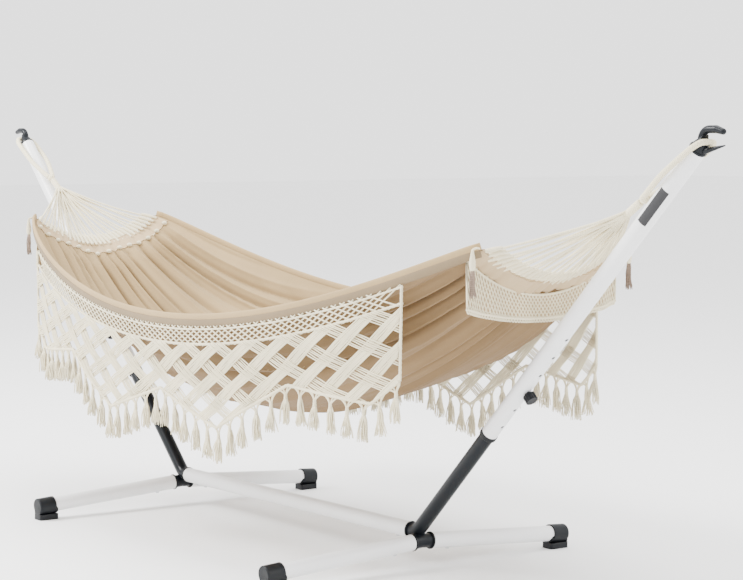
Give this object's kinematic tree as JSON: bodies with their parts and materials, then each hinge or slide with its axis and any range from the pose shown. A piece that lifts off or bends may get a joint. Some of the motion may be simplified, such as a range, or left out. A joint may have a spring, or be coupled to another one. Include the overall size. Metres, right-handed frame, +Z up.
{
  "type": "hammock on stand",
  "caption": "Fringed cloth hammock hung by end cords from hooks on a two-armed tubular stand with adjustable arms.",
  "frame": {"origin": "on the floor, under the middle of the base bar", "axes": "+Z up, X along the base bar, Y across it"},
  "size_m": [3.585, 1.047, 1.2192],
  "materials": {
    "white_paint": "satin white powder coat",
    "charcoal_paint": "semi-gloss charcoal powder coat",
    "black_plastic": "moulded black plastic with a fine grain",
    "zinc_steel": "bright zinc plating",
    "badge_grey": "satin grey film",
    "beige_cloth": "plain woven cotton",
    "cream_strip": "woven cotton band",
    "taupe_hem": "corded cotton hem",
    "cream_cord": "twisted cotton cord",
    "cream_macrame": "knotted cotton cord",
    "brown_tassel": "loose cotton strands"
  },
  "bodies": {
    "base": {"base_bar": "white_paint", "bar_screws": "zinc_steel", "leg_screws": "zinc_steel", "end_frame_left": "charcoal_paint", "end_frame_right": "charcoal_paint", "bar_collar_left": "black_plastic", "bar_collar_right": "black_plastic", "leg_front_left": "white_paint", "leg_front_right": "white_paint", "leg_rear_left": "white_paint", "leg_rear_right": "white_paint", "foot_cap_front_left": "black_plastic", "foot_cap_front_right": "black_plastic", "foot_cap_rear_left": "black_plastic", "foot_cap_rear_right": "black_plastic", "leg_collar_front_left": "black_plastic", "leg_collar_front_right": "black_plastic", "leg_collar_rear_left": "black_plastic", "leg_collar_rear_right": "black_plastic", "arm_glide_left": "black_plastic", "arm_glide_right": "black_plastic", "arm_nut_left": "zinc_steel", "arm_nut_right": "zinc_steel"},
    "right_arm": {"upper_arm_right": "white_paint", "arm_bushing_right": "black_plastic", "hook_right": "charcoal_paint", "badge": "badge_grey", "loop_right": "cream_cord"},
    "left_arm": {"upper_arm_left": "white_paint", "arm_bushing_left": "black_plastic", "hook_left": "charcoal_paint", "loop_left": "cream_cord"},
    "right_knob": {"knob_right": "black_plastic", "knob_screw_right": "zinc_steel"},
    "left_knob": {"knob_left": "black_plastic", "knob_screw_left": "zinc_steel"},
    "right_cords": {"whipping_right": "cream_cord", "end_cords_right": "cream_cord"},
    "bed": {"bed_cloth": "beige_cloth", "hem_front": "taupe_hem", "hem_rear": "taupe_hem", "fringe_front": "cream_macrame", "fringe_rear": "cream_macrame", "end_strip_left": "cream_strip", "end_strip_right": "cream_strip", "end_valance_left": "cream_macrame", "end_valance_right": "cream_macrame", "tassel_front_left": "brown_tassel", "tassel_front_right": "brown_tassel", "tassel_rear_left": "brown_tassel", "tassel_rear_right": "brown_tassel"},
    "left_cords": {"whipping_left": "cream_cord", "end_cords_left": "cream_cord"}
  },
  "joints": [
    {"name": "right_arm_slide", "type": "slide", "parent": "base", "child": "right_arm", "axis": [0.712, 0, 0.7022], "range_m": [-0.071, 0.071]},
    {"name": "left_arm_slide", "type": "slide", "parent": "base", "child": "left_arm", "axis": [-0.712, 0, 0.7022], "range_m": [-0.071, 0.071]},
    {"name": "right_knob_turn", "type": "hinge", "parent": "right_arm", "child": "right_knob", "pos_m": [1.07885, 0, 0.54557], "axis": [0.7022, 0, -0.712], "continuous": true},
    {"name": "left_knob_turn", "type": "hinge", "parent": "left_arm", "child": "left_knob", "pos_m": [-1.07885, 0, 0.54557], "axis": [-0.7022, 0, -0.712], "continuous": true},
    {"name": "hammock_swing", "type": "hinge", "parent": "right_arm", "child": "right_cords", "pos_m": [1.5255, 0, 1.04333], "axis": [1, 0, 0], "range_deg": [-15, 15]},
    {"name": "bed_centre", "type": "slide", "parent": "right_cords", "child": "bed", "axis": [-1, 0, 0], "range_m": [-0.0516, 0.0516], "deforming": ["end_cords_right"]},
    {"name": "left_cords_reach", "type": "slide", "parent": "bed", "child": "left_cords", "axis": [-1, 0, 0], "range_m": [-0.0516, 0.0516], "deforming": ["end_cords_left"]}
  ],
  "couplings": [
    {"joint": "left_arm_slide", "follows": "right_arm_slide", "ratio": 1},
    {"joint": "bed_centre", "follows": "right_arm_slide", "ratio": 0.71203},
    {"joint": "left_cords_reach", "follows": "right_arm_slide", "ratio": 0.71203}
  ]
}
